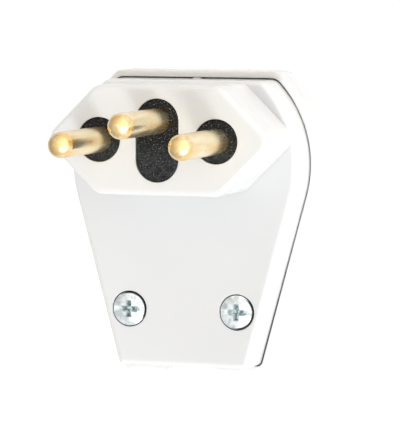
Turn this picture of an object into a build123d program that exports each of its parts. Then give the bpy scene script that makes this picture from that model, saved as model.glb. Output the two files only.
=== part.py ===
from build123d import *

import os
from math import cos, radians, sin, sqrt

# Right-angle rewireable plug with three round pins. Millimetres, Z along the pins, cord inlet towards -Y.
# The origin is on the flat back, under the midpoint of the line and neutral pins.

# Housing depths, from the flat back up
rear_depth = 9.0
front_depth = 7.0
nose_height = 13.3
parting_gap = 0.3
rim_sink = 0.7
seam_width = 0.25

# Outline of the front cover where the two covers meet
shoulder_radius = 18.8
shoulder_y = -4.5
body_top_y = 8.95
body_bottom_y = -36.8
front_taper = 15.0
top_corner_radius = 1.8
bottom_corner_radius = 0.7
side_draft = 0.5
face_edge_radius = 1.0

# The rear cover stands proud of the front cover as a narrow ledge, into which the front cover's rim sinks
ledge_at_shoulders = 1.1
ledge_at_top = 1.25
ledge_at_bottom = 1.5
rear_taper = 14.4
ledge_edge_radius = 0.4
back_edge_radius = 2.0

# Elongated hexagon of the nose: its slanted sides stand at 45 degrees, where |x| + |y| is the reach
nose_half_height = 8.6
nose_reach = 18.75
nose_tip_radius = 2.4
nose_shoulder_radius = 3.0
nose_edge_radius = 0.9
nose_draft = 0.25

# Walls
side_wall = 1.9
face_wall = 2.0
back_wall = 2.0
nose_side_wall = 1.5
nose_front_wall = 2.5
rib = 1.2

# Lap joint: a tongue on the rear cover stands inside the thinned rim of the front cover
lap_height = 2.0
lap_rim = 1.0
lap_clearance = 0.1
lug_width = 1.35
lug_depth = 0.15

# Two hooks on the front cover hold the covers together at the top, each in a pocket of the rear cover
hook_x = 11.4
hook_width = 2.0
hook_thickness = 1.2
hook_end_z = 4.6
hook_barb = 0.6
hook_barb_height = 1.0
hook_clearance = 0.15

# Pins
pin_diameter = 4.0
pin_root_diameter = 4.4
pin_root_cone = 0.4
pin_projection = 19.0
pin_spacing = 19.0
earth_offset = 3.0
collar_diameter = 6.8
collar_thickness = 2.0
barrel_diameter = 5.6
barrel_length = 12.0
barrel_chamfer = 0.4
wire_hole_diameter = 2.6
wire_hole_from_end = 2.9
fit_clearance = 0.1

# Black pin carrier, trapped in the nose with the retainer behind it
window_diameter = 7.0
middle_window_length = 13.0
boss_recess = 0.15
boss_edge_radius = 0.25
carrier_thickness = 5.0
retainer_thickness = 2.0
barrier_thickness = 1.2
barrier_length = 11.0
barrier_depth = 13.0
pad_clearance = 0.1
pad_margin = 0.5

# Screws: shank, head diameter, head height and shank length of each kind
terminal_screw_shank = 2.9
terminal_screw_head = 5.0
terminal_screw_head_height = 1.8
terminal_screw_length = 5.0
clamp_screw_shank = 2.9
clamp_screw_head = 5.0
clamp_screw_head_height = 1.7
clamp_screw_length = 7.0
cover_screw_shank = 2.9
cover_screw_head = 5.4
cover_screw_head_height = 1.8
cover_screw_length = 10.0
head_edge_height = 1.2
head_bevel = 0.3
slot_width = 0.8
slot_depth = 0.7
cross_width = 1.0
cross_length = 2.8
cross_depth = 1.3
cross_taper = 14.0

# Cover screws, in recesses of the front face beside the cord
cover_screw_x = 8.95
cover_screw_y = -27.7
screw_recess_diameter = 5.8
screw_recess_depth = 1.3
screw_passage = 3.3
screw_post_diameter = 6.8
pilot_extra_depth = 1.5

# Cord inlet and the strap that grips the cord
inlet_diameter = 8.0
inlet_flare = 0.8
clamp_y = -19.5
clamp_screw_x = 7.5
clamp_post_diameter = 6.0
strap_width = 6.0
strap_thickness = 1.8
strap_bore = 7.2
strap_foot_z = 7.5
saddle_spread = 4.4

# Levels along Z
parting_z = rear_depth
rim_z = parting_z - rim_sink
rebate_z = rim_z - parting_gap
tongue_top_z = parting_z + lap_height
face_z = rear_depth + front_depth
nose_z = face_z + nose_height
boss_z = nose_z - boss_recess
root_end_z = boss_z - pin_root_cone
carrier_front_z = nose_z - nose_front_wall
carrier_back_z = carrier_front_z - carrier_thickness
retainer_back_z = carrier_back_z - retainer_thickness
barrel_end_z = carrier_back_z - barrel_length
barrier_end_z = retainer_back_z - barrier_depth
ceiling_z = face_z - face_wall

pin_places = {
    "line_pin": (pin_spacing / 2, 0.0),
    "neutral_pin": (-pin_spacing / 2, 0.0),
    "earth_pin": (0.0, earth_offset),
}
clamp_places = [(clamp_screw_x, clamp_y), (-clamp_screw_x, clamp_y)]
cover_screw_places = [(cover_screw_x, cover_screw_y), (-cover_screw_x, cover_screw_y)]
barrier_x = pin_spacing / 4


def round_corners(outline, y, radius):
    """Rounds the corners of an outline that lie at one height."""
    corners = [v for v in outline.vertices() if abs(abs(v.Y) - abs(y)) < 0.01 and v.Y * y >= 0]
    return fillet(corners, radius)


def body_outline(radius, top, bottom, taper, inset):
    """Round shoulders cut flat at the top, running on into straight sides that taper to a flat bottom."""
    radius = radius - inset
    top = top - inset
    bottom = bottom + inset
    lean = radians(taper)
    tangent = (radius * cos(lean), shoulder_y - radius * sin(lean))
    foot_x = (radius - (shoulder_y - bottom) * sin(lean)) / cos(lean)
    trunk = Polygon(
        (-tangent[0], tangent[1]), (-foot_x, bottom), (foot_x, bottom), tangent, align=None
    )
    outline = Pos(0, shoulder_y) * Circle(radius) + trunk
    outline -= Pos(0, top) * Rectangle(3 * radius, 2 * radius, align=(Align.CENTER, Align.MIN))
    outline = round_corners(outline, top, max(top_corner_radius - inset, 0.5))
    return round_corners(outline, bottom, max(bottom_corner_radius - inset, 0.5))


def front_outline(inset=0.0):
    """The front cover's outline at its rim, drawn in by inset."""
    return body_outline(shoulder_radius, body_top_y, body_bottom_y, front_taper, inset)


def rear_outline():
    """The rear cover's outline, larger than the front cover's by the ledge."""
    return body_outline(
        shoulder_radius + ledge_at_shoulders,
        body_top_y + ledge_at_top,
        body_bottom_y - ledge_at_bottom,
        rear_taper,
        0.0,
    )


def nose_outline(inset=0.0):
    """The nose's elongated hexagon, drawn in by inset."""
    half_height = nose_half_height - inset
    reach = nose_reach - inset * sqrt(2)
    flat = reach - half_height
    hexagon = Polygon(
        (reach, 0), (flat, half_height), (-flat, half_height),
        (-reach, 0), (-flat, -half_height), (flat, -half_height),
        align=None,
    )
    hexagon = round_corners(hexagon, 0.0, max(nose_tip_radius - inset, 0.5))
    hexagon = round_corners(hexagon, half_height, max(nose_shoulder_radius - inset, 0.5))
    return round_corners(hexagon, -half_height, max(nose_shoulder_radius - inset, 0.5))


def prism(outline, low, high, draft=0.0):
    """Extrudes a flat outline from one level up to another."""
    return extrude(Pos(0, 0, low) * outline, high - low, taper=draft)


def rod(x, y, low, high, diameter):
    """An upright cylinder between two levels."""
    return Pos(x, y, low) * Cylinder(diameter / 2, high - low, align=(Align.CENTER, Align.CENTER, Align.MIN))


def bar(x, y, low, high, width, length):
    """An upright block between two levels."""
    return Pos(x, y, low) * Box(width, length, high - low, align=(Align.CENTER, Align.CENTER, Align.MIN))


def along_y(y, length, diameter, z=parting_z):
    """A cylinder along the cord's axis, centred at y."""
    return Pos(0, y, z) * Rot(90, 0, 0) * Cylinder(diameter / 2, length)


def window_outlines(shrink):
    """The two round windows and the long middle window of the nose, made smaller by shrink all round."""
    around = Circle(window_diameter / 2 - shrink)
    middle = Rot(0, 0, 90) * SlotOverall(middle_window_length - 2 * shrink, window_diameter - 2 * shrink)
    return middle + Pos(pin_spacing / 2, 0) * around + Pos(-pin_spacing / 2, 0) * around


def inlet_cutter(wall_y):
    """The round cord inlet through a bottom wall whose outer face is at wall_y, flared at its outer edge."""
    hole = along_y(wall_y, 4 * side_wall + 2 * ledge_at_bottom, inlet_diameter)
    flare = Cone(inlet_diameter / 2 + inlet_flare, inlet_diameter / 2, inlet_flare)
    return hole + Pos(0, wall_y + inlet_flare / 2, parting_z) * Rot(-90, 0, 0) * flare


def hook(x):
    """A blade hanging from the front cover's ceiling, with a wedge-shaped barb that faces the top wall."""
    outer_y = body_top_y - side_wall - hook_clearance
    blade = bar(x, outer_y - hook_thickness / 2, hook_end_z, ceiling_z + rib, hook_width, hook_thickness)
    wedge = Polyline(
        (outer_y, hook_end_z), (outer_y + hook_barb, hook_end_z + hook_barb_height),
        (outer_y, hook_end_z + hook_barb_height), (outer_y, hook_end_z),
    )
    return blade + Pos(x, 0, 0) * extrude(Plane.YZ * make_face(wedge), hook_width / 2, both=True)


def front_cover():
    """Moulded front: tapered body, hollow hexagonal nose, screw recesses, posts and cord saddle."""
    body = prism(front_outline(), rim_z, face_z, side_draft)
    body = fillet(body.faces().sort_by(Axis.Z)[-1].edges(), face_edge_radius)
    nose = prism(nose_outline(), ceiling_z, nose_z, nose_draft)
    nose = fillet(nose.faces().sort_by(Axis.Z)[-1].edges(), nose_edge_radius)
    cover = body + nose

    cover -= prism(front_outline(side_wall), rim_z, ceiling_z)
    cover -= prism(nose_outline(nose_side_wall), rim_z, carrier_front_z)
    cover -= prism(front_outline(lap_rim), rim_z, tongue_top_z + parting_gap)
    cover -= prism(window_outlines(0.0), carrier_front_z, nose_z)

    inside = prism(front_outline(lap_rim + lap_clearance), parting_z, face_z - face_wall / 2)
    for x, y in cover_screw_places:
        cover += rod(x, y, parting_z, ceiling_z, screw_post_diameter) & inside
        cover -= rod(x, y, face_z - screw_recess_depth, face_z, screw_recess_diameter)
        cover -= rod(x, y, parting_z, face_z, screw_passage)
    for y in (clamp_y - saddle_spread / 2, clamp_y + saddle_spread / 2):
        wall = bar(0, y, parting_z, ceiling_z, 2 * clamp_screw_x, rib)
        cover += wall - along_y(y, 2 * rib, inlet_diameter)
    for x, y in clamp_places:
        cover += rod(x, y, strap_foot_z, ceiling_z, clamp_post_diameter)
        cover -= rod(x, y, strap_foot_z, ceiling_z - rib / 2, clamp_screw_shank + fit_clearance)
    cover += bar(0, body_top_y + lug_depth - lap_rim / 2, rim_z, parting_z, lug_width, lap_rim)
    for x in (hook_x, -hook_x):
        cover += hook(x)
    return cover - inlet_cutter(body_bottom_y)


def rear_cover():
    """Moulded back: flat-backed tray with a rebate and tongue round its rim, screw posts and two pads."""
    tray = prism(rear_outline(), 0, rear_depth)
    tray = fillet(tray.faces().sort_by(Axis.Z)[0].edges(), back_edge_radius)
    tray = fillet(tray.faces().sort_by(Axis.Z)[-1].edges(), ledge_edge_radius)
    tray -= prism(front_outline(side_wall), back_wall, rear_depth)
    tray -= prism(front_outline(-seam_width), rebate_z, rear_depth)

    tongue = prism(front_outline(lap_rim + lap_clearance), rebate_z - rib, tongue_top_z)
    tongue -= prism(front_outline(side_wall), rebate_z - rib, tongue_top_z)
    for x, y in cover_screw_places:
        tongue -= rod(x, y, parting_z, tongue_top_z, screw_post_diameter + 4 * lap_clearance)
    cover = tray + tongue

    inside = prism(front_outline(lap_rim + lap_clearance), 0, parting_z)
    pilot_z = face_z - screw_recess_depth - cover_screw_length - pilot_extra_depth
    for x, y in cover_screw_places:
        cover += rod(x, y, back_wall / 2, parting_z, screw_post_diameter) & inside
        cover -= rod(x, y, pilot_z, parting_z, cover_screw_shank + fit_clearance)
    pad_z = barrier_end_z - pad_clearance
    for x in (barrier_x, -barrier_x):
        cover += bar(x, 0, back_wall / 2, pad_z, 2 * rib, barrier_length - 2 * pad_margin)
    pocket_low = hook_end_z - 2 * hook_clearance
    pocket_high = hook_end_z + hook_barb_height + hook_clearance
    pocket_depth = hook_barb + hook_clearance
    for x in (hook_x, -hook_x):
        y = body_top_y - side_wall
        cover -= bar(x, y, pocket_low, pocket_high, hook_width + 4 * hook_clearance, 2 * pocket_depth)
    return cover - inlet_cutter(body_bottom_y - ledge_at_bottom)


def pin_carrier():
    """Black insulating block that fills the nose: three bosses stand in the windows, one pin in each."""
    clearance = fit_clearance + nose_side_wall
    carrier = prism(nose_outline(clearance), carrier_back_z, carrier_front_z)
    bosses = prism(window_outlines(fit_clearance), carrier_back_z, boss_z)
    carrier += fillet(bosses.faces().group_by(Axis.Z)[-1].edges(), boss_edge_radius)
    slack = fit_clearance / 2
    mouth = Cone(pin_root_diameter / 2 + slack, pin_diameter / 2 + slack, pin_root_cone)
    for x, y in pin_places.values():
        carrier -= rod(x, y, carrier_back_z, root_end_z, pin_root_diameter + fit_clearance)
        carrier -= Pos(x, y, (root_end_z + boss_z) / 2) * mouth
        pocket_z = carrier_back_z + collar_thickness + fit_clearance
        carrier -= rod(x, y, carrier_back_z, pocket_z, collar_diameter + 2 * fit_clearance)
    return carrier


def pin_retainer():
    """Black plate behind the pin collars, with two barriers that part the terminals."""
    outline = nose_outline(fit_clearance + nose_side_wall)
    plate = prism(outline, retainer_back_z, carrier_back_z)
    for x, y in pin_places.values():
        plate -= rod(x, y, retainer_back_z, carrier_back_z, barrel_diameter + 2 * fit_clearance)
    for x in (barrier_x, -barrier_x):
        plate += bar(x, 0, barrier_end_z, retainer_back_z + rib / 2, barrier_thickness, barrier_length)
    return plate


def contact_pin(x, y):
    """Turned brass pin: domed tip, thicker root and collar in the carrier, terminal barrel behind it."""
    tip_z = nose_z + pin_projection
    radius = pin_diameter / 2
    root_radius = pin_root_diameter / 2
    collar_z = carrier_back_z + collar_thickness
    profile = make_face(
        Polyline(
            (0, tip_z - 2 * radius), (0, barrel_end_z), (barrel_diameter / 2 - barrel_chamfer, barrel_end_z),
            (barrel_diameter / 2, barrel_end_z + barrel_chamfer), (barrel_diameter / 2, carrier_back_z),
            (collar_diameter / 2, carrier_back_z), (collar_diameter / 2, collar_z), (root_radius, collar_z),
            (root_radius, root_end_z), (radius, boss_z), (radius, tip_z - radius), (0, tip_z - radius),
            (0, tip_z - 2 * radius),
        )
    )
    profile += Pos(0, tip_z - radius) * Circle(radius) & Pos(0, tip_z - radius) * Rectangle(
        radius, radius, align=(Align.MIN, Align.MIN)
    )
    pin = Pos(x, y, 0) * revolve(Plane.XZ * profile, Axis.Z)
    hole_z = barrel_end_z + wire_hole_from_end
    pin -= Pos(x, y, hole_z) * Rot(90, 0, 0) * Cylinder(wire_hole_diameter / 2, 2 * barrel_diameter)
    thread_top = barrel_end_z + terminal_screw_length + fit_clearance
    return pin - rod(x, y, barrel_end_z, thread_top, terminal_screw_shank + fit_clearance)


def domed_head(diameter, height):
    """Pan head: a short upright edge under a domed crown."""
    radius = diameter / 2
    crown_radius = (radius**2 + (height - head_edge_height) ** 2) / (2 * (height - head_edge_height))
    crown = Pos(0, 0, height - crown_radius) * Sphere(crown_radius)
    return rod(0, 0, 0, height, diameter) & crown


def flat_head(diameter, height):
    """Cheese head: upright edge, flat top, bevelled corner."""
    head = rod(0, 0, 0, height, diameter)
    return chamfer(head.edges().sort_by(Axis.Z)[-1], head_bevel)


def screw(head, head_height, shank, length, cross):
    """A screw with its head above the origin and its shank below, slotted and maybe crossed too."""
    blank = head + rod(0, 0, -length, head_height / 2, shank)
    blank -= bar(0, 0, head_height - slot_depth, head_height, 2 * shank, slot_width)
    if cross:
        arms = Rectangle(cross_length, cross_width) + Rectangle(cross_width, cross_length)
        blank -= extrude(Pos(0, 0, head_height) * arms, cross_depth, dir=(0, 0, -1), taper=cross_taper)
    return blank


def terminal_screws():
    """Three screws, one up the end of each terminal barrel."""
    head = flat_head(terminal_screw_head, terminal_screw_head_height)
    kind = screw(head, terminal_screw_head_height, terminal_screw_shank, terminal_screw_length, False)
    return Compound([Pos(x, y, barrel_end_z) * Rot(180, 0, 0) * kind for x, y in pin_places.values()])


def cord_clamp():
    """Arched strap with two flat feet, screwed down over the cord."""
    foot_low = strap_foot_z - strap_thickness
    foot_width = 2 * clamp_screw_x + clamp_post_diameter
    arch = along_y(clamp_y, strap_width, strap_bore + 2 * strap_thickness)
    arch &= bar(0, clamp_y, 0, strap_foot_z, foot_width, strap_width)
    strap = arch + bar(0, clamp_y, foot_low, strap_foot_z, foot_width, strap_width)
    ends = strap.edges().filter_by(Axis.Z).group_by(Axis.X)
    strap = fillet(ends[0] + ends[-1], strap_width / 3)
    strap -= along_y(clamp_y, 2 * strap_width, strap_bore)
    for x, y in clamp_places:
        strap -= rod(x, y, foot_low, strap_foot_z, clamp_screw_shank + 2 * fit_clearance)
    return strap


def cord_clamp_screws():
    """The two screws of the strap, driven from the back."""
    head = flat_head(clamp_screw_head, clamp_screw_head_height)
    kind = screw(head, clamp_screw_head_height, clamp_screw_shank, clamp_screw_length, False)
    seat_z = strap_foot_z - strap_thickness
    return Compound([Pos(x, y, seat_z) * Rot(180, 0, 0) * kind for x, y in clamp_places])


def cover_screws():
    """The two screws that draw the covers together, driven from the front."""
    head = domed_head(cover_screw_head, cover_screw_head_height)
    kind = screw(head, cover_screw_head_height, cover_screw_shank, cover_screw_length, True)
    return Compound([Pos(x, y, face_z - screw_recess_depth) * kind for x, y in cover_screw_places])


pieces = {
    "front_cover": front_cover(),
    "rear_cover": rear_cover(),
    "pin_carrier": pin_carrier(),
    "pin_retainer": pin_retainer(),
    "terminal_screws": terminal_screws(),
    "cord_clamp": cord_clamp(),
    "cord_clamp_screws": cord_clamp_screws(),
    "cover_screws": cover_screws(),
}
for name, (x, y) in pin_places.items():
    pieces[name] = contact_pin(x, y)

os.makedirs("parts", exist_ok=True)
for name, shape in pieces.items():
    export_step(shape, f"parts/{name}.step")
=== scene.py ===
import bpy
from mathutils import Matrix, Vector

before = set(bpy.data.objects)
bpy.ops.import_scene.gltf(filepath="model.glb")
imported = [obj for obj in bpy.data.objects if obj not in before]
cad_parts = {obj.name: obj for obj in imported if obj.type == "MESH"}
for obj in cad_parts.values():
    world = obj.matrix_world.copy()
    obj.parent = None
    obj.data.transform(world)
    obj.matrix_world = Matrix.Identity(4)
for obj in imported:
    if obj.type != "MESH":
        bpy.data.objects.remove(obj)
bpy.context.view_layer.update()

# The camera stands a little above and to the right of the plug and looks down along its pins. Its place
# and turn were fitted to the pins' roots and tips and to the windows, all of which the photograph shows.
sensor_width = 36.0
focal_length = 267.85
nearest_seen, farthest_seen = 0.05, 20.0
roll, tilt, swing = -0.00357, 0.07677, -0.30727
eye_in_view = Vector((0.00667336, -0.01131671, 0.49136))
nose_centre = Vector((0, 0, 0.0293))

camera = bpy.data.objects.new("camera", bpy.data.cameras.new("camera"))
bpy.context.scene.collection.objects.link(camera)
camera.data.sensor_width = sensor_width
camera.data.lens = focal_length
camera.data.clip_start = nearest_seen
camera.data.clip_end = farthest_seen
to_view = Matrix.Rotation(roll, 3, "Z") @ Matrix.Rotation(tilt, 3, "X") @ Matrix.Rotation(swing, 3, "Y")
to_world = to_view.transposed()
camera.rotation_mode = "QUATERNION"
camera.rotation_quaternion = to_world.to_quaternion()
camera.location = to_world @ eye_in_view + nose_centre
bpy.context.scene.camera = camera


# The plug lies on its flat back on a sheet of white studio paper. To the camera the paper is lifted to white
# and still takes the plug's soft shadow. In metal and gloss it is mirrored as white that dims to the left.
def material(name):
    made = bpy.data.materials.new(name)
    made.use_nodes = True
    made.node_tree.nodes.clear()
    return made


def node(tree, kind, inputs=None, **settings):
    made = tree.nodes.new(kind)
    for key, value in settings.items():
        setattr(made, key, value)
    for key, value in (inputs or {}).items():
        if isinstance(value, bpy.types.NodeSocket):
            tree.links.new(value, made.inputs[key])
        else:
            made.inputs[key].default_value = value
    return made


def arithmetic(tree, operation, first, second=0.5, third=0.5):
    return node(tree, "ShaderNodeMath", {0: first, 1: second, 2: third}, operation=operation).outputs[0]


def ranged(tree, value, span, low, high):
    inputs = {"Value": value, "From Min": span[0], "From Max": span[1], "To Min": low, "To Max": high}
    return node(tree, "ShaderNodeMapRange", inputs).outputs[0]


def place_on(tree):
    at = node(tree, "ShaderNodeTexCoord").outputs["Object"]
    return node(tree, "ShaderNodeSeparateXYZ", {"Vector": at}).outputs


paper_colour = (0.90, 0.90, 0.90, 1)
shadow_colour = (0.45, 0.45, 0.45, 1)
white_light = (1, 1, 1, 1)
lift = 0.66
dimming_span = -0.22, 0.02
dimmest = 0.42
paper_half_width = 3.0
paper_z = -0.0001

paper = material("studio_paper")
tree = paper.node_tree
plain = node(tree, "ShaderNodeBsdfDiffuse", {"Color": paper_colour})
shaded = node(tree, "ShaderNodeBsdfDiffuse", {"Color": shadow_colour})
lifted = node(tree, "ShaderNodeEmission", {"Color": white_light, "Strength": lift})
seen = node(tree, "ShaderNodeAddShader", {0: shaded.outputs[0], 1: lifted.outputs[0]})
dimming = ranged(tree, place_on(tree)["X"], dimming_span, dimmest, 1.0)
mirrored = node(tree, "ShaderNodeEmission", {"Color": white_light, "Strength": dimming})
rays = node(tree, "ShaderNodeLightPath").outputs
pictured = node(
    tree, "ShaderNodeMixShader", {0: rays["Is Glossy Ray"], 1: seen.outputs[0], 2: mirrored.outputs[0]}
)
either = arithmetic(tree, "MAXIMUM", rays["Is Camera Ray"], rays["Is Glossy Ray"])
seen_directly = arithmetic(tree, "MAXIMUM", either, rays["Is Transmission Ray"])
mixed = node(tree, "ShaderNodeMixShader", {0: seen_directly, 1: plain.outputs[0], 2: pictured.outputs[0]})
node(tree, "ShaderNodeOutputMaterial", {"Surface": mixed.outputs[0]})

corners = [
    (x * paper_half_width, y * paper_half_width, paper_z) for x, y in ((-1, -1), (1, -1), (1, 1), (-1, 1))
]
floor_mesh = bpy.data.meshes.new("studio_floor")
floor_mesh.from_pydata(corners, [], [(0, 1, 2, 3)])
floor_mesh.materials.append(paper)
floor = bpy.data.objects.new("studio_floor", floor_mesh)
bpy.context.scene.collection.objects.link(floor)

# The light is one soft lamp in front of the cord end and a pale room, brighter low on the right and a little
# warmer behind the earth pin. Metal and gloss mirror a room that is dim on the left and bright by the lamp.
lamp_direction = Vector((0.36, -0.60, 0.68))
lamp_distance = 1.40
lamp_width = 0.34
lamp_watts = 6.2
lamp_colour = (0.95, 0.985, 1.0)

lamp = bpy.data.lights.new("key_softbox", "AREA")
lamp.shape = "SQUARE"
lamp.size = lamp_width
lamp.energy = lamp_watts
lamp.color = lamp_colour
softbox = bpy.data.objects.new("key_softbox", lamp)
softbox.rotation_mode = "QUATERNION"
softbox.location = lamp_direction.normalized() * lamp_distance
softbox.rotation_quaternion = lamp_direction.to_track_quat("Z", "Y")
bpy.context.scene.collection.objects.link(softbox)


def facing(tree, vector, direction):
    inputs = {0: vector, 1: direction}
    return node(tree, "ShaderNodeVectorMath", inputs, operation="DOT_PRODUCT").outputs["Value"]


# A direction that looks straight at a side measures about 1 there, and one that looks away from it about -1.
bright_side = (0.92, 0.35, 0.0)
bright_span = 0.25, 1.0
darkest_room, brightest_room = 0.765, 1.80
window_side = (0.80, 0.22, 0.55)
mirrored_span = -0.75, 0.35
darkest_mirrored = 0.42
window_span = 0.30, 1.0
window_strength = 0.90
glow_side = (0.58, -0.57, 0.58)
glow_span = 0.86, 0.98
glow_strength = 2.4
warm_side = (-0.45, 0.90, 0.0)
warm_span = -0.25, 0.80
cool_air = (1.0, 1.0, 0.995, 1)
warm_air = (0.98, 0.925, 0.865, 1)

world = bpy.data.worlds.new("pale_room")
world.use_nodes = True
bpy.context.scene.world = world
tree = world.node_tree
tree.nodes.clear()
around = node(tree, "ShaderNodeTexCoord").outputs["Generated"]
room = ranged(tree, facing(tree, around, bright_side), bright_span, darkest_room, brightest_room)
to_window = facing(tree, around, window_side)
mirrored_room = ranged(tree, to_window, mirrored_span, darkest_mirrored, 1.0)
window = ranged(tree, to_window, window_span, 0.0, window_strength)
glow = ranged(tree, facing(tree, around, glow_side), glow_span, 0.0, glow_strength)
shining = arithmetic(tree, "ADD", arithmetic(tree, "ADD", mirrored_room, window), glow)
rays = node(tree, "ShaderNodeLightPath").outputs
lighting = node(tree, "ShaderNodeMix", {"Factor": rays["Is Glossy Ray"], "A": room, "B": shining})
strength = node(
    tree, "ShaderNodeMix", {"Factor": rays["Is Camera Ray"], "A": lighting.outputs[0], "B": 1.0}
)
warmth = ranged(tree, facing(tree, around, warm_side), warm_span, 0.0, 1.0)
air = node(tree, "ShaderNodeValToRGB", {"Fac": warmth})
air.color_ramp.elements[0].color = cool_air
air.color_ramp.elements[1].color = warm_air
sky = node(tree, "ShaderNodeBackground", {"Color": air.outputs["Color"], "Strength": strength.outputs[0]})
node(tree, "ShaderNodeOutputWorld", {"Surface": sky.outputs[0]})

# Both covers are injection moulded in glossy white plastic and are held together by two hooks and two
# screws. Their faces are a little mottled, and painted shade darkens the seam, other narrow crevices and
# one side of the recess round each sunk screw.
usual_noise = 0.3, 0.7


# The scale is in spots to the metre, and a stretch below 1 draws the spots out along that axis.
def spots(tree, scale, detail, stretch=None):
    at = node(tree, "ShaderNodeTexCoord").outputs["Object"]
    if stretch:
        at = node(tree, "ShaderNodeVectorMath", {0: at, 1: stretch}, operation="MULTIPLY").outputs[0]
    return node(tree, "ShaderNodeTexNoise", {"Vector": at, "Scale": scale, "Detail": detail}).outputs["Fac"]


def ramp(tree, value, colours, span=usual_noise):
    made = node(tree, "ShaderNodeValToRGB", {"Fac": value})
    made.color_ramp.elements[0].position = span[0]
    made.color_ramp.elements[1].position = span[1]
    made.color_ramp.elements[0].color = (*colours[0], 1)
    made.color_ramp.elements[1].color = (*colours[1], 1)
    return made.outputs["Color"]


def between(tree, value, ends):
    return ranged(tree, value, usual_noise, *ends)


def all_of(tree, *factors):
    made = factors[0]
    for factor in factors[1:]:
        made = arithmetic(tree, "MULTIPLY", made, factor)
    return made


def near_height(tree, z, height, span):
    off = arithmetic(tree, "ABSOLUTE", arithmetic(tree, "SUBTRACT", z, height))
    return ranged(tree, off, span, 1.0, 0.0)


def mixed_colour(tree, factor, first, second):
    made = node(tree, "ShaderNodeMix", data_type="RGBA")
    for socket, value in ((0, factor), (6, first), (7, second)):
        if isinstance(value, bpy.types.NodeSocket):
            tree.links.new(value, made.inputs[socket])
        else:
            made.inputs[socket].default_value = (*value, 1)
    return made.outputs[2]


def scaled_colour(tree, colour, scale):
    return node(tree, "ShaderNodeVectorMath", {0: colour, "Scale": scale}, operation="SCALE").outputs[0]


# The depth is in metres.
def bumped(tree, height, depth, before=None):
    made = node(tree, "ShaderNodeBump", {"Height": height, "Strength": 1.0, "Distance": depth})
    if before:
        tree.links.new(before, made.inputs["Normal"])
    return made.outputs[0]


def finish_with(made, colour, roughness, normal, **constants):
    tree = made.node_tree
    inputs = {"Base Color": colour, "Roughness": roughness, "Normal": normal}
    shader = node(tree, "ShaderNodeBsdfPrincipled", inputs)
    for key, value in constants.items():
        shader.inputs[key.replace("_", " ").title().replace("Ior", "IOR")].default_value = value
    node(tree, "ShaderNodeOutputMaterial", {"Surface": shader.outputs[0]})


def wear(made, *names):
    for name in names:
        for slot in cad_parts[name].material_slots:
            slot.material = made


face_z, face_margin = 0.016, (0.00001, 0.00012)
nose_front_z = 0.0292
ledge_z, ledge_margin = 0.0090, (0.0001, 0.0004)
ledge_end_y = 0.0086, 0.0092
wall_whites = (0.858, 0.857, 0.850), (0.878, 0.878, 0.874)
nose_shaded_whites = (0.820, 0.824, 0.828), (0.836, 0.841, 0.847)
face_shaded_whites = (0.772, 0.774, 0.780), (0.790, 0.792, 0.797)
ledge_shade_white = (0.785, 0.768, 0.735)
left_to_right = -0.014, 0.014
left_painted_light, right_painted_shade = 1.035, 0.965
painted_shade_colour = (0.05, 0.04, 0.035)
painted_shade_reach = 0.0009
narrow_to_open = 0.10, 0.42
seam_to_above_z = 0.0092, 0.0098
painted_shade_above_seam = 0.40
lowest_painted_shade_z = 0.0070
lit_side_x = 0.0110, 0.0165
lug_half_width = 0.00066
screw_x, screw_y = 0.00895, -0.0277
screw_surround = 0.0034
ring_shade_direction = (0.9, 0.45, 0.0)
ring_shade_span = -0.0012, 0.0010
white_roughness = 0.16, 0.26
grain_depth, wave_depth = 0.0000006, 0.0000008

white = material("white_housing")
tree = white.node_tree
place = place_on(tree)

# Painted shade darkens where a crevice is narrow, more in the seam than above it, and none on the lug or
# the lit side.
crevice = node(tree, "ShaderNodeAmbientOcclusion", {"Distance": painted_shade_reach}, samples=12).outputs["AO"]
hidden = ranged(tree, crevice, narrow_to_open, 1.0, 0.0)
by_height = ranged(tree, place["Z"], seam_to_above_z, 1.0, painted_shade_above_seam)
high_enough = arithmetic(tree, "GREATER_THAN", place["Z"], lowest_painted_shade_z)
off_lit_side = ranged(tree, place["X"], lit_side_x, 1.0, 0.0)
off_lug = arithmetic(tree, "GREATER_THAN", arithmetic(tree, "ABSOLUTE", place["X"]), lug_half_width)
painted_seam_shade = all_of(tree, hidden, by_height, high_enough, off_lit_side, off_lug)

# Round each screw the painted shade lies on one side of the recess only.
nearer_x = arithmetic(tree, "MULTIPLY", arithmetic(tree, "SIGN", place["X"]), screw_x)
screw_axis = node(tree, "ShaderNodeCombineXYZ", {"X": nearer_x, "Y": screw_y}).outputs[0]
on_plan = node(tree, "ShaderNodeCombineXYZ", {"X": place["X"], "Y": place["Y"]}).outputs[0]
from_screw = node(tree, "ShaderNodeVectorMath", {0: on_plan, 1: screw_axis}, operation="SUBTRACT").outputs[0]
screw_off = node(tree, "ShaderNodeVectorMath", {0: from_screw}, operation="LENGTH").outputs["Value"]
by_screw = arithmetic(tree, "LESS_THAN", screw_off, screw_surround)
shaded_ring_side = ranged(tree, facing(tree, from_screw, ring_shade_direction), ring_shade_span, 0.0, 1.0)
painted_shade = arithmetic(tree, "MAXIMUM", painted_seam_shade, all_of(tree, by_screw, shaded_ring_side, hidden))

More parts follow.
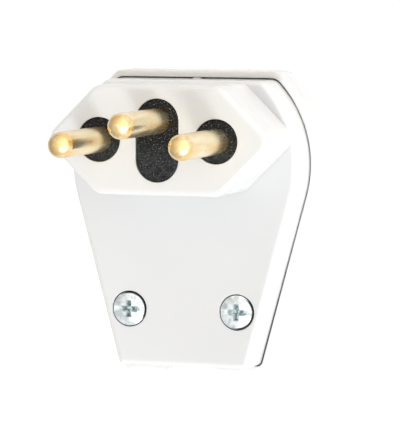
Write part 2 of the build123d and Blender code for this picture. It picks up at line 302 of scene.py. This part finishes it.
# The flat face and the nose's front are painted a darker white than the walls, as painted shade, and
# a little darker still to the right and lighter to the left, as painted light and shade. The end of the
# ledge behind the earth pin is painted darker and warmer, as painted shade.
on_face = near_height(tree, place["Z"], face_z, face_margin)
on_nose = arithmetic(tree, "GREATER_THAN", place["Z"], nose_front_z)
on_ledge = near_height(tree, place["Z"], ledge_z, ledge_margin)
shaded_ledge_end = ranged(tree, place["Y"], ledge_end_y, 0.0, 1.0)
painted_side_light_and_shade = ranged(tree, place["X"], left_to_right, left_painted_light, right_painted_shade)
wall_tone = ramp(tree, spots(tree, 240, 3.0), wall_whites)
shaded_nose_tone = scaled_colour(tree, ramp(tree, spots(tree, 90, 2.0), nose_shaded_whites), painted_side_light_and_shade)
shaded_face_tone = scaled_colour(tree, ramp(tree, spots(tree, 60, 2.0), face_shaded_whites), painted_side_light_and_shade)
toned = mixed_colour(tree, on_nose, wall_tone, shaded_nose_tone)
# The end of the ledge gets its painted shade here.
toned = mixed_colour(tree, all_of(tree, on_ledge, shaded_ledge_end), toned, ledge_shade_white)
toned = mixed_colour(tree, on_face, toned, shaded_face_tone)

grain = bumped(tree, spots(tree, 4200, 2.0), grain_depth)
finish_with(
    white,
    mixed_colour(tree, painted_shade, toned, painted_shade_colour),
    between(tree, spots(tree, 420, 4.0), white_roughness),
    bumped(tree, spots(tree, 130, 1.0), wave_depth, grain),
    ior=1.5, subsurface_weight=0.70, subsurface_scale=0.0008, subsurface_radius=(1.0, 0.95, 0.9),
)
wear(white, "front_cover", "rear_cover")

# The pin carrier and its retainer are moulded in black thermoset and trap the pins' collars between them.
# The bosses that show in the windows are speckled by their mineral filler, and in their lower half they
# are lighter and bluer in patches.
filler_colours = (0.004, 0.0045, 0.005), (0.26, 0.27, 0.27)
filler_span = 0.58, 0.74
lower_patch_colour = (0.055, 0.060, 0.066)
lower_half_y = -0.0002, -0.0022
lower_patch_ends = 0.0, 0.62
black_roughness = 0.18, 0.34
filler_depth = 0.00002

black = material("black_insulator")
tree = black.node_tree
speckle = spots(tree, 4600, 3.0)
low_half = ranged(tree, place_on(tree)["Y"], lower_half_y, 0.0, 1.0)
lighter_below = all_of(tree, low_half, between(tree, spots(tree, 1300, 5.0), lower_patch_ends))
finish_with(
    black,
    mixed_colour(tree, lighter_below, ramp(tree, speckle, filler_colours, filler_span), lower_patch_colour),
    between(tree, spots(tree, 1500, 4.0), black_roughness),
    bumped(tree, speckle, filler_depth),
    specular_ior_level=0.20,
)
wear(black, "pin_carrier", "pin_retainer")

# The three pins are turned from brass and polished lengthwise, so the haze in the polish runs along them.
# Faint rings from the lathe run round them, and their domed tips are blotched with tarnish.
polish_colours = (0.94, 0.66, 0.28), (1.0, 0.88, 0.58)
polish_span = 0.36, 0.60
tarnish_colour = (0.96, 0.66, 0.29)
tarnish_span = 0.40, 0.60
least_tarnish = 0.25
dome_z = 0.0462, 0.0466
along_pin, along_dents, along_gloss = (1.0, 1.0, 0.14), (1.0, 1.0, 0.25), (1.0, 1.0, 0.2)
round_pin = (0.4, 0.4, 3.0)
brass_roughness = 0.16, 0.30
dent_depth, ring_depth = 0.000003, 0.0000008

brass = material("pin_brass")
tree = brass.node_tree
polish = ramp(tree, spots(tree, 620, 2.0, along_pin), polish_colours, polish_span)
at_tip = ranged(tree, place_on(tree)["Z"], dome_z, 0.0, 1.0)
blotched = ranged(tree, spots(tree, 1500, 1.0), tarnish_span, least_tarnish, 1.0)
dents = bumped(tree, spots(tree, 500, 1.0, along_dents), dent_depth)
finish_with(
    brass,
    mixed_colour(tree, all_of(tree, at_tip, blotched), polish, tarnish_colour),
    between(tree, spots(tree, 620, 2.0, along_gloss), brass_roughness),
    bumped(tree, spots(tree, 300, 1.0, round_pin), ring_depth, dents),
    metallic=0.92,
)
wear(brass, "line_pin", "neutral_pin", "earth_pin")

# The screws inside, in the terminals and in the cord clamp, are steel with a bright, slightly blue zinc
# plating, which is cloudy from the bath.
zinc_colours = (0.62, 0.66, 0.69), (0.84, 0.88, 0.90)
zinc_roughness = 0.18, 0.34
zinc_depth = 0.000006

zinc = material("zinc_screw")
tree = zinc.node_tree
finish_with(
    zinc,
    ramp(tree, spots(tree, 1100, 4.0), zinc_colours),
    between(tree, spots(tree, 1900, 3.0), zinc_roughness),
    bumped(tree, spots(tree, 2600, 3.0), zinc_depth),
    metallic=1.0,
)
wear(zinc, "terminal_screws", "cord_clamp_screws")

# The two cover screws sit sunk in the face and hold the covers together. Their zinc-plated crowns are
# bluish and clouded, the punched cross is painted a patchy dark teal as painted shade, and one side of
# each rim is painted black as painted shade.
crown_colours = (0.60, 0.67, 0.70), (0.94, 0.98, 1.0)
crown_span = 0.36, 0.56
cross_radius = 0.00145, 0.0017
cross_z = 0.0156, 0.0162
cross_shade_colours = (0.10, 0.20, 0.22), (0.80, 0.88, 0.89)
cross_shade_span = 0.38, 0.58
rim_shade_colour = (0.012, 0.012, 0.013)
rim_radius = 0.00240, 0.00256
rim_shade_to_right = 0.85
rim_shade_to_middle, rim_shade_upwards = -0.50, 0.15
rim_shade_span = 0.0, 0.0012
crown_roughness = 0.30, 0.46
crown_depth = 0.00002

crowned = material("cover_screw_zinc")
tree = crowned.node_tree
place = place_on(tree)
beside = arithmetic(tree, "ABSOLUTE", place["X"])
folded = node(tree, "ShaderNodeCombineXYZ", {"X": beside, "Y": place["Y"]}).outputs[0]
off_axis = node(
    tree, "ShaderNodeVectorMath", {0: folded, 1: (screw_x, screw_y, 0.0)}, operation="DISTANCE"
).outputs["Value"]
in_cross = ranged(tree, off_axis, cross_radius, 1.0, 0.0)
deep = ranged(tree, place["Z"], cross_z, 1.0, 0.0)

# The painted shade lies on the right of both heads, turned upwards on the left one and downwards on
# the right one.
side = arithmetic(tree, "SIGN", place["X"])
across = arithmetic(tree, "MULTIPLY", arithmetic(tree, "SUBTRACT", beside, screw_x), side)
along = arithmetic(tree, "SUBTRACT", place["Y"], screw_y)
lean = arithmetic(tree, "ADD", arithmetic(tree, "MULTIPLY", side, rim_shade_to_middle), rim_shade_upwards)
leaned = arithmetic(tree, "MULTIPLY", along, lean)
to_side = arithmetic(tree, "MULTIPLY_ADD", across, rim_shade_to_right, leaned)
shaded_rim_side = ranged(tree, to_side, rim_shade_span, 0.0, 1.0)
at_rim = ranged(tree, off_axis, rim_radius, 0.0, 1.0)

cloud = spots(tree, 1100, 3.0)
plating = ramp(tree, cloud, crown_colours, crown_span)
# The cross is painted dark teal with lighter patches, as painted shade with painted glints.
painted_cross_shade = ramp(tree, spots(tree, 2300, 3.0), cross_shade_colours, cross_shade_span)
with_rim_shade = mixed_colour(tree, all_of(tree, shaded_rim_side, at_rim), plating, rim_shade_colour)
finish_with(
    crowned,
    mixed_colour(tree, all_of(tree, in_cross, deep), with_rim_shade, painted_cross_shade),
    between(tree, cloud, crown_roughness),
    bumped(tree, cloud, crown_depth),
    metallic=0.62,
)
wear(crowned, "cover_screws")

# The strap over the cord is moulded in the natural, duller plastic of parts that stay inside, and is held
# down by its two screws.
strap_colours = (0.74, 0.74, 0.70), (0.80, 0.80, 0.77)
strap_roughness = 0.42, 0.58
strap_depth = 0.000012

strap = material("clamp_plastic")
tree = strap.node_tree
finish_with(
    strap,
    ramp(tree, spots(tree, 300, 3.0), strap_colours),
    between(tree, spots(tree, 700, 4.0), strap_roughness),
    bumped(tree, spots(tree, 3800, 2.0), strap_depth),
    ior=1.5,
)
wear(strap, "cord_clamp")

bpy.context.scene.view_settings.view_transform = "Standard"
